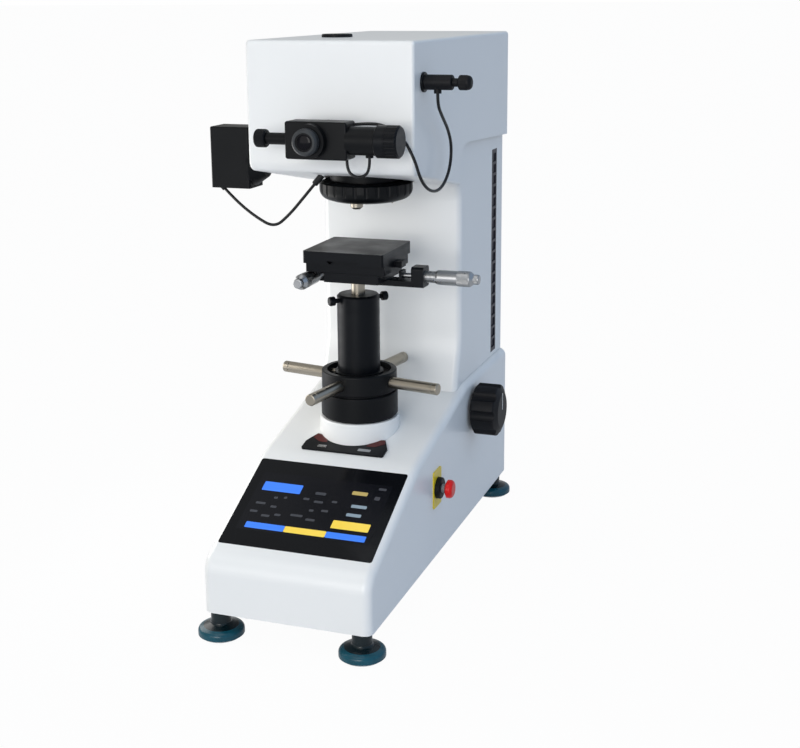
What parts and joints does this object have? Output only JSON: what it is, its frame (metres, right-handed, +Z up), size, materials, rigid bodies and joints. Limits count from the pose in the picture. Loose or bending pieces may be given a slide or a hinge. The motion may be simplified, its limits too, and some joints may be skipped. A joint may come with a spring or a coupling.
{
  "type": "hardness tester",
  "caption": "Bench micro hardness tester: screw-lifted X-Y stage on a sloping base, column with overhanging head, objective turret and measuring eyepiece.",
  "frame": {"origin": "floor under the middle of the machine's overall width and depth", "axes": "+Z up, +X to the operator's right, +Y from the operator to the rear"},
  "size_m": [0.3504, 0.618, 0.704],
  "materials": {
    "housing_paint": "satin white",
    "black_paint": "satin black",
    "black_steel": "blackened",
    "steel": "ground",
    "chrome": "polished",
    "aluminium": "machined",
    "zinc_sheet": "zinc plated",
    "screen_black": "gloss black",
    "plastic_black": "moulded",
    "plastic_grey": "moulded",
    "stop_red": "gloss red",
    "stop_yellow": "yellow",
    "foot_teal": "gloss teal black",
    "board_green": "laminate",
    "cord_rubber": "smooth"
  },
  "bodies": {
    "machine_frame": {"base_shell": "housing_paint", "base_plate": "zinc_sheet", "boss_ring": "housing_paint", "trim_plate": "black_paint", "touch_panel": "screen_black", "display_module": "plastic_black", "column_frame": "housing_paint", "head_arm": "zinc_sheet", "head_cover": "housing_paint", "rear_cover": "housing_paint", "side_vents": "black_paint", "cover_screws": "steel", "turret_mount": "black_paint", "sight_tube": "black_paint", "lamp_house": "black_paint", "plug_socket": "chrome", "encoder_plug": "plastic_black", "encoder_cord": "cord_rubber", "lamp_cord": "cord_rubber", "port_cap": "plastic_black", "power_inlet": "plastic_black", "control_board": "board_green", "power_supply": "zinc_sheet", "lift_guide": "steel", "stop_plate": "stop_yellow", "stop_collar": "plastic_black"},
    "handwheel": {"handwheel": "black_paint", "handwheel_spokes": "chrome"},
    "lift": {"lifting_column": "black_steel"},
    "clamp_front": {"clamp_screw_front": "black_steel"},
    "clamp_rear": {"clamp_screw_rear": "black_steel"},
    "stage": {"stage_spigot": "steel", "stage_base": "black_steel", "x_barrel": "aluminium"},
    "x_slide": {"stage_middle": "black_steel", "y_barrel": "aluminium"},
    "y_slide": {"stage_top": "black_steel"},
    "x_thimble": {"x_thimble": "chrome"},
    "y_thimble": {"y_thimble": "chrome"},
    "turret": {"turret": "black_paint", "objectives": "chrome", "indenter": "steel"},
    "eyepiece": {"eyepiece_block": "black_paint", "drum_cord": "cord_rubber"},
    "diopter": {"diopter_ring": "plastic_black"},
    "measuring_drum": {"measuring_drum": "black_steel"},
    "adjusting_knob": {"adjusting_knob": "black_steel"},
    "lamp_screw": {"lamp_screw": "black_steel"},
    "selector": {"selector_knob": "plastic_black"},
    "stop_plunger": {"stop_stem": "plastic_grey"},
    "stop_button": {"stop_button": "stop_red"},
    "rocker": {"rocker_switch": "plastic_black"},
    "lever": {"load_lever": "steel"},
    "spindle": {"loading_spindle": "steel"},
    "weights": {"weight_stack": "steel"},
    "foot_front_left": {"foot_front_left": "foot_teal"},
    "foot_front_right": {"foot_front_right": "foot_teal"},
    "foot_rear_left": {"foot_rear_left": "foot_teal"},
    "foot_rear_right": {"foot_rear_right": "foot_teal"}
  },
  "joints": [
    {"name": "handwheel_turn", "type": "hinge", "parent": "machine_frame", "child": "handwheel", "pos_m": [0.00825, -0.043, 0.265], "axis": [0, 0, 1], "range_deg": [-6120, 3240]},
    {"name": "lift_slide", "type": "slide", "parent": "machine_frame", "child": "lift", "axis": [0, 0, 1], "range_m": [-0.085, 0.045]},
    {"name": "clamp_front_turn", "type": "hinge", "parent": "lift", "child": "clamp_front", "pos_m": [0.00825, -0.043, 0.371], "axis": [-0.7071, -0.7071, 0], "range_deg": [-180, 180]},
    {"name": "clamp_rear_turn", "type": "hinge", "parent": "lift", "child": "clamp_rear", "pos_m": [0.00825, -0.043, 0.371], "axis": [0.7071, 0.7071, 0], "range_deg": [-180, 180]},
    {"name": "stage_swivel", "type": "hinge", "parent": "lift", "child": "stage", "pos_m": [0.00825, -0.043, 0.4], "axis": [0, 0, 1], "range_deg": [-15, 15]},
    {"name": "x_thimble_turn", "type": "hinge", "parent": "x_slide", "child": "x_thimble", "pos_m": [0.10025, -0.043, 0.4055], "axis": [1, 0, 0], "range_deg": [-9000, 9000]},
    {"name": "x_slide_travel", "type": "slide", "parent": "stage", "child": "x_slide", "axis": [1, 0, 0], "range_m": [-0.0125, 0.0125]},
    {"name": "y_thimble_turn", "type": "hinge", "parent": "y_slide", "child": "y_thimble", "pos_m": [-0.04325, -0.049, 0.402], "axis": [0, 1, 0], "range_deg": [-9000, 9000]},
    {"name": "y_slide_travel", "type": "slide", "parent": "x_slide", "child": "y_slide", "axis": [0, 1, 0], "range_m": [-0.0125, 0.0125]},
    {"name": "turret_turn", "type": "hinge", "parent": "machine_frame", "child": "turret", "pos_m": [0.00825, -0.009, 0.508], "axis": [0, 0, 1], "range_deg": [-120, 120]},
    {"name": "eyepiece_turn", "type": "hinge", "parent": "machine_frame", "child": "eyepiece", "pos_m": [0.00825, -0.173, 0.588], "axis": [0, 1, 0], "range_deg": [-90, 0]},
    {"name": "diopter_turn", "type": "hinge", "parent": "eyepiece", "child": "diopter", "pos_m": [0.00825, -0.203, 0.588], "axis": [0, 1, 0], "range_deg": [-150, 150]},
    {"name": "measuring_drum_turn", "type": "hinge", "parent": "eyepiece", "child": "measuring_drum", "pos_m": [0.09825, -0.173, 0.588], "axis": [1, 0, 0], "range_deg": [-1800, 1800]},
    {"name": "adjusting_knob_turn", "type": "hinge", "parent": "eyepiece", "child": "adjusting_knob", "pos_m": [-0.05975, -0.173, 0.588], "axis": [1, 0, 0], "range_deg": [-360, 360]},
    {"name": "lamp_screw_turn", "type": "hinge", "parent": "machine_frame", "child": "lamp_screw", "pos_m": [-0.17175, -0.075, 0.541], "axis": [1, 0, 0], "range_deg": [-360, 360]},
    {"name": "selector_turn", "type": "hinge", "parent": "machine_frame", "child": "selector", "pos_m": [0.12825, 0.123, 0.185], "axis": [1, 0, 0], "range_deg": [0, 315]},
    {"name": "stop_press", "type": "slide", "parent": "machine_frame", "child": "stop_plunger", "axis": [-1, 0, 0], "range_m": [0, 0.004], "stiffness_N_per_m": 400, "springref_m": -0.002},
    {"name": "stop_release_turn", "type": "hinge", "parent": "stop_plunger", "child": "stop_button", "pos_m": [0.12825, -0.047, 0.127], "axis": [1, 0, 0], "range_deg": [0, 45]},
    {"name": "rocker_rock", "type": "hinge", "parent": "machine_frame", "child": "rocker", "pos_m": [-0.03125, 0.2952, 0.09], "axis": [1, 0, 0], "range_deg": [-8, 8]},
    {"name": "weight_lift", "type": "slide", "parent": "machine_frame", "child": "weights", "axis": [0, 0, 1], "range_m": [-0.012, 0]},
    {"name": "lever_rock", "type": "hinge", "parent": "machine_frame", "child": "lever", "pos_m": [0.00825, -0.073, 0.61], "axis": [1, 0, 0], "range_deg": [-2.3, 0]},
    {"name": "spindle_travel", "type": "slide", "parent": "machine_frame", "child": "spindle", "axis": [0, 0, 1], "range_m": [-0.0012, 0]},
    {"name": "foot_front_left_turn", "type": "hinge", "parent": "machine_frame", "child": "foot_front_left", "pos_m": [-0.08275, -0.281, 0], "axis": [0, 0, 1], "range_deg": [-360, 360]},
    {"name": "foot_front_right_turn", "type": "hinge", "parent": "machine_frame", "child": "foot_front_right", "pos_m": [0.09925, -0.281, 0], "axis": [0, 0, 1], "range_deg": [-360, 360]},
    {"name": "foot_rear_left_turn", "type": "hinge", "parent": "machine_frame", "child": "foot_rear_left", "pos_m": [-0.08275, 0.281, 0], "axis": [0, 0, 1], "range_deg": [-360, 360]},
    {"name": "foot_rear_right_turn", "type": "hinge", "parent": "machine_frame", "child": "foot_rear_right", "pos_m": [0.09925, 0.281, 0], "axis": [0, 0, 1], "range_deg": [-360, 360]}
  ],
  "couplings": [
    {"joint": "lift_slide", "follows": "handwheel_turn", "m_per_rad": 0.00079577},
    {"joint": "x_thimble_turn", "follows": "x_slide_travel", "rad_per_m": 12566},
    {"joint": "y_thimble_turn", "follows": "y_slide_travel", "rad_per_m": 12566},
    {"joint": "lever_rock", "follows": "weight_lift", "rad_per_m": 3.3333},
    {"joint": "spindle_travel", "follows": "weight_lift", "ratio": 0.1}
  ]
}
